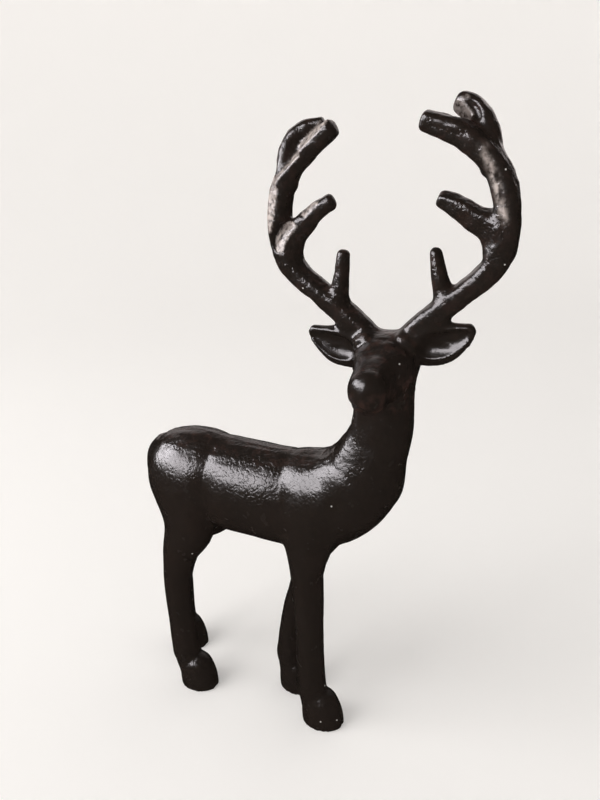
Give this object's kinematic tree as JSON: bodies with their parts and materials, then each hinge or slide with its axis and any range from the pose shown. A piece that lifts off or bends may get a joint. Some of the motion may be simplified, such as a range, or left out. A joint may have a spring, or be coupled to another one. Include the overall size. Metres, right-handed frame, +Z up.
{
  "type": "stag statue",
  "caption": "Standing stag cast in iron and painted gloss black, with slim legs, its head turned to one side and tall branching antlers.",
  "frame": {"origin": "centre of the bounding box's underside, on the plane that the four hooves stand on", "axes": "+Z up, +X the way the body walks, +Y to the animal's left; the turned head looks along -Y"},
  "size_m": [0.1816, 0.051, 0.2597],
  "materials": {
    "black_painted_iron": "gloss black paint over a sand-cast skin, worn to brown on the antlers"
  },
  "bodies": {
    "root": {"stag": "black_painted_iron"}
  },
  "joints": []
}
